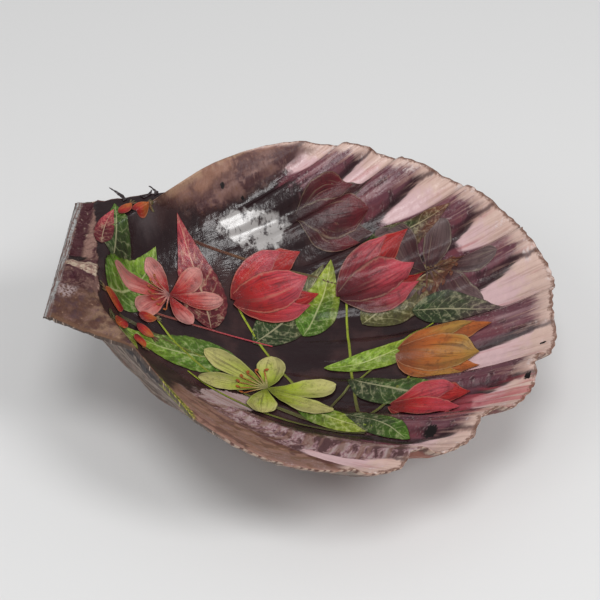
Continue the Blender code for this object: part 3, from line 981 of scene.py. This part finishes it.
tulip((-0.12, 0.35), -33, 0.19, RED, ROSE, CRIMSON, RED)
tulip((-0.165, 0.57), -32, 0.19, CRIMSON, ROSE, SHADE_RED, RED)
tulip((0.0, 0.70), 8, 0.18, ORANGE, AMBER, RUSSET, ORANGE)
tulip((0.165, 0.69), 14, 0.15, RED, ROSE, CRIMSON, RED)
star((0.115, 0.44), 200, 0.165, LIME, STRAW)
star((-0.075, 0.215), 150, 0.12, RED, BLUSH)
for place, heading in (
    ((0.03, 0.135), 150),
    ((0.055, 0.145), 110),
    ((0.045, 0.165), 20),
    ((0.075, 0.17), 60),
    ((0.02, 0.165), -30),
    ((-0.15, 0.095), -60),
    ((-0.165, 0.12), -40),
):
    hip(place, heading, 0.04)


def paint_print(name, veins):
    """Ink for one kind of cut-out: its tint runs into its tip's colour, with veins or streaks, and worn."""
    ink = bpy.data.materials.new(name)
    ink.use_nodes = True
    tree = ink.node_tree
    surface = tree.nodes["Principled BSDF"]
    side_at = measure(tree, "side")
    along_at = measure(tree, "along")
    flat_at = measure(tree, "flat", 1)
    place = add_node("CombineXYZ", side_at, along_at, measure(tree, "seed"))
    wash = grain(stretched(place, 1.2, 2.2), 1.0, 3)
    streaks = grain(stretched(place, 8, 1.2), 1.0, 4, 0.65)
    mottle = grain(flat_at, 0.75, 4, 0.65)
    off_middle = maths("ABSOLUTE", side_at)
    towards_tip = shaken(along_at, wash, 1.1)
    colour = coat(measure(tree, "tint", 0), measure(tree, "tip", 0), step(towards_tip, 0.2, 0.95))
    dark = coat(colour, GROUND, 0.7)
    light = coat(colour, WORN_PAPER, 0.4 if veins else 0.22)
    if veins:
        one_side = step(side_at, -0.02, 0.02)
        colour = coat(colour, dark, maths("MULTIPLY", one_side, 0.35))
        bowed = maths("POWER", off_middle, 1.4)
        rows = maths("MULTIPLY_ADD", bowed, -1.5, maths("MULTIPLY", along_at, veins))
        rows = shaken(maths("MULTIPLY_ADD", one_side, 0.4, rows), wash, 1.6)
        across_row = maths("ABSOLUTE", maths("SUBTRACT", maths("FRACT", rows), 0.5))
        vein = step(shaken(across_row, mottle, 0.1), 0.09, 0.0)
        colour = coat(colour, dark, step(across_row, 0.12, 0.26, 0, 0.3))
        colour = coat(colour, dark, step(mottle, 0.48, 0.66, 0, 0.75))
        colour = coat(colour, light, step(mottle, 0.5, 0.34, 0, 0.5))
        midrib = step(off_middle, 0.06, 0.02, 0, 0.8)
        vein = maths("MAXIMUM", maths("MULTIPLY", vein, 0.4), midrib)
        colour = coat(colour, light, maths("MULTIPLY", vein, step(off_middle, 1.0, 0.6)))
    else:
        colour = coat(colour, light, step(streaks, 0.46, 0.3, 0, 0.6))
        colour = coat(colour, dark, step(streaks, 0.5, 0.66, 0, 0.75))
        colour = coat(colour, dark, step(mottle, 0.54, 0.7, 0, 0.55))
        colour = coat(colour, dark, step(shaken(side_at, wash, 0.8), -0.1, 0.9, 0, 0.5))
        colour = coat(colour, dark, step(shaken(along_at, streaks, 0.5), 0.42, 0.0, 0, 0.9))
        pale_rim = step(shaken(off_middle, mottle, 0.3), 0.86, 0.97, 0, 0.7)
        colour = coat(colour, light, pale_rim)
    colour = coat(colour, dark, step(shaken(off_middle, mottle, 0.15), 0.93, 1.0, 0, 0.8))
    dust = add_node("Group", flat_at, node_tree=lacquer, output=1)
    colour = coat(colour, GROUND, maths("MULTIPLY", dust, 0.4))
    tree.links.new(colour, surface.inputs["Base Color"])
    film = add_node("Group", flat_at, node_tree=lacquer)
    emboss(surface, 0.6, LACQUER_RELIEF, maths("MULTIPLY_ADD", streaks, 0.16, film))
    roughness = maths("MULTIPLY_ADD", dust, DUST_ROUGHNESS, LACQUER_ROUGHNESS + 0.06)
    tree.links.new(roughness, surface.inputs["Roughness"])
    surface.inputs["Specular IOR Level"].default_value = LACQUER_SHINE
    return ink


def join_pieces(name, pieces):
    """Makes several pieces one, and names it."""
    bpy.ops.object.select_all(action="DESELECT")
    for piece in pieces:
        piece.select_set(True)
    bpy.context.view_layer.objects.active = pieces[0]
    bpy.ops.object.join()
    joined = bpy.context.object
    joined.name = name
    joined.data.name = name
    return joined


def finish_cut_outs(name, pieces, finish):
    """Joins the pieces of one kind, presses them onto the valve, and lifts each by its level in the stack."""
    joined = join_pieces(name, pieces)
    joined.matrix_world = to_table
    press = joined.modifiers.new("press", "SHRINKWRAP")
    press.target = valve
    press.wrap_method = "PROJECT"
    press.use_project_z = True
    press.use_negative_direction = True
    press.use_positive_direction = False
    bpy.ops.object.modifier_apply(modifier=press.name)
    levels = np.empty(len(joined.data.vertices), np.float32)
    joined.data.attributes["level"].data.foreach_get("value", levels)
    for vertex, level in zip(joined.data.vertices, levels):
        vertex.co.z += PAPER_LIFT + LEVEL_LIFT * float(level)
    joined.data.materials.clear()
    joined.data.materials.append(finish)
    bpy.ops.object.transform_apply()
    bpy.ops.object.shade_smooth()
    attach(joined, "root")


for kind, veins in (("stems", 0), ("leaves", 9), ("petals", 0), ("hips", 0)):
    finish_cut_outs("paper_" + kind, cuts[kind], paint_print("printed_" + kind, veins))


# Three torn shreds of the dark paper, which came loose over the back ear's edge and dried curled in the
# lacquer. Each is a narrow strip that stands out past the edge and rolls up towards its end.

SHRED_WIDTH = 1.3 * MM
SHRED_THICKNESS = 0.12 * MM
SHREDS = (  # degrees on the fan, share of the way to the edge, length in mm, lean in degrees, and roll in mm
    (-63, 0.93, 5.5, -52, 0.5),
    (-57.5, 0.93, 3.6, 38, 0.2),
    (-54, 0.95, 3.0, -40, 0.5),
)
shreds = []
for root_angle, share, length, lean, roll in SHREDS:
    bpy.ops.mesh.primitive_grid_add(x_subdivisions=4, y_subdivisions=18, size=2)
    shred = bpy.context.object
    sheet = np.array([vertex.co for vertex in shred.data.vertices])
    side, along = sheet[:, 0], (sheet[:, 1] + 1) / 2
    radius = share * float(edge_distance(np.array([root_angle]))[0])
    start_x = radius * math.sin(math.radians(root_angle))
    start_y = radius * math.cos(math.radians(root_angle))
    heading = math.radians(-90 + lean)
    reach = length * MM * along
    rise = 0.25 * MM + roll * MM * along**2 + 0.15 * MM * ripple(along * 5, side * 2 + root_angle)
    ragged = 1 + 0.6 * ripple(along * 9 + root_angle, side * 0 + 2)
    half = SHRED_WIDTH / 2 * side * (1 - 0.8 * along) * ragged
    x = start_x + reach * math.sin(heading) + half * math.cos(heading)
    y = start_y + reach * math.cos(heading) - half * math.sin(heading) + 0.6 * MM * np.sin(along * 3.5)
    z = inside(np.full(len(x), root_angle), np.full(len(x), share), start_x + 0 * x, start_y + 0 * y) + rise
    shred.data.vertices.foreach_set("co", np.stack([x, y, z], 1).ravel())
    shred.data.uv_layers.remove(shred.data.uv_layers[0])
    add_measure(shred, "flat", np.stack([x, y, z], 1) / MM)
    shreds.append(shred)
torn_paper = join_pieces("torn_paper", shreds)
thickness = torn_paper.modifiers.new("thickness", "SOLIDIFY")
thickness.thickness = SHRED_THICKNESS
bpy.ops.object.modifier_apply(modifier=thickness.name)
torn_paper.data.transform(to_table)
dark_paper = bpy.data.materials.new("dark_paper")
dark_paper.use_nodes = True
tree = dark_paper.node_tree
surface = tree.nodes["Principled BSDF"]
flat_at = measure(tree, "flat", 1)
soaked = grain(flat_at, 1.1, 3)
tree.links.new(coat(GROUND, GROUND_GREY, step(soaked, 0.45, 0.7)), surface.inputs["Base Color"])
film = add_node("Group", flat_at, node_tree=lacquer)
emboss(surface, 0.6, LACQUER_RELIEF, film)
tree.links.new(step(soaked, 0.3, 0.7, 0.3, 0.5), surface.inputs["Roughness"])
torn_paper.data.materials.append(dark_paper)
bpy.ops.object.shade_smooth()
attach(torn_paper, "root")


# The room: a pale table top, a soft window light from the right, a broad light overhead and a weak one from
# the left, and the camera that looks down over the near edge.

TABLE_SIZE = 6
TABLE_GREY = 0.7
ROOM_LIGHT = 0.41
LAMP_DISTANCE = 1.1
LAMPS = (  # name, degrees from straight ahead and above the table, size in metres and power in watts
    ("window_light", 111, 43, 0.36, 4.8),
    ("top_light", 175, 71, 0.5, 4.2),
    ("left_light", 225, 40, 0.6, 2.1),
)
AZIMUTH = math.radians(-5.02956)
ELEVATION = math.radians(37.53384)
ROLL = math.radians(-0.44054)
CAMERA_PLACE = Vector((0.02806, -0.34119, 0.29037))
LENS_LENGTH = 108
SENSOR_WIDTH = 36

bpy.ops.mesh.primitive_plane_add(size=TABLE_SIZE)
table_top = bpy.context.object
table_top.name = "table_top"
pale_paint = bpy.data.materials.new("pale_paint")
pale_paint.use_nodes = True
surface = pale_paint.node_tree.nodes["Principled BSDF"]
surface.inputs["Base Color"].default_value = (TABLE_GREY, TABLE_GREY, TABLE_GREY, 1)
surface.inputs["Roughness"].default_value = 0.7
table_top.data.materials.append(pale_paint)

room = bpy.data.worlds.new("room")
room.use_nodes = True
room.node_tree.nodes["Background"].inputs["Color"].default_value = (1, 1, 1, 1)
room.node_tree.nodes["Background"].inputs["Strength"].default_value = ROOM_LIGHT
bpy.context.scene.world = room


def towards(azimuth, height):
    """A step of one metre in a direction, from the angles straight ahead to the right and up."""
    level = math.cos(height)
    return Vector((level * math.sin(azimuth), level * math.cos(azimuth), math.sin(height)))


for name, azimuth, height, size, power in LAMPS:
    soft_box = bpy.data.lights.new(name, "AREA")
    soft_box.shape = "DISK"
    soft_box.size = size
    soft_box.energy = power
    lamp = bpy.data.objects.new(name, soft_box)
    bpy.context.collection.objects.link(lamp)
    over = towards(math.radians(azimuth), math.radians(height))
    lamp.location = over * LAMP_DISTANCE
    lamp.rotation_euler = over.to_track_quat("Z", "Y").to_euler()

forward = towards(AZIMUTH, -ELEVATION)
right = Vector((math.cos(AZIMUTH), -math.sin(AZIMUTH), 0))
up = right.cross(forward)
lens = bpy.data.cameras.new("camera")
lens.lens = LENS_LENGTH
lens.sensor_width = SENSOR_WIDTH
camera = bpy.data.objects.new("camera", lens)
bpy.context.collection.objects.link(camera)
facing = Matrix((right, up, -forward)).transposed() @ Matrix.Rotation(ROLL, 3, "Z")
camera.matrix_world = Matrix.Translation(CAMERA_PLACE) @ facing.to_4x4()
bpy.context.scene.camera = camera

bpy.context.scene.view_settings.view_transform = "Standard"
